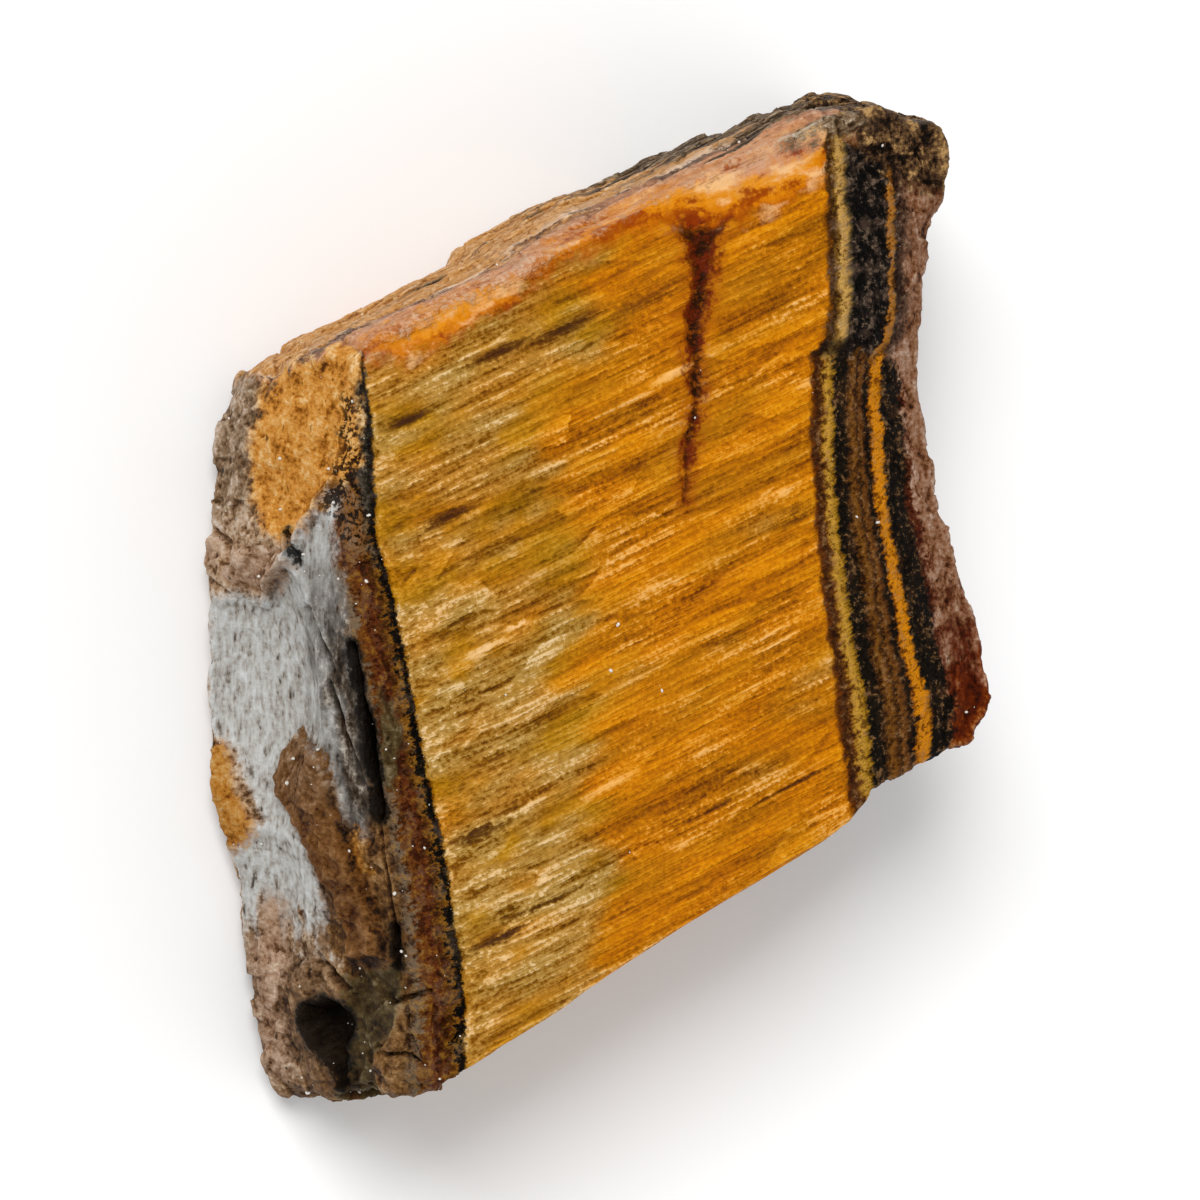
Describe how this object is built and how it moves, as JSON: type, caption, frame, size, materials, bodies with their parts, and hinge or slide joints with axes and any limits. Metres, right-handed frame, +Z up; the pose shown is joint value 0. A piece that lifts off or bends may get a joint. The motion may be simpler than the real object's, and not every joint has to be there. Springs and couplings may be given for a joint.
{
  "type": "rough tigers eye stone",
  "caption": "Rough broken block of gold cross-fibre tiger's eye quartz between dark banded ironstone walls, lying flat on its back.",
  "frame": {"origin": "centre of the stone's bounds on the surface it rests on", "axes": "+Z up, out of the broad gold fibre face; +Y along the long way of the block, parallel to the dark walls of the vein; +X across the vein, from the left wall to the right wall"},
  "size_m": [0.032, 0.0448, 0.0156],
  "materials": {
    "tigers_eye": "satin"
  },
  "bodies": {
    "root": {"rough_stone": "tigers_eye"}
  },
  "joints": []
}
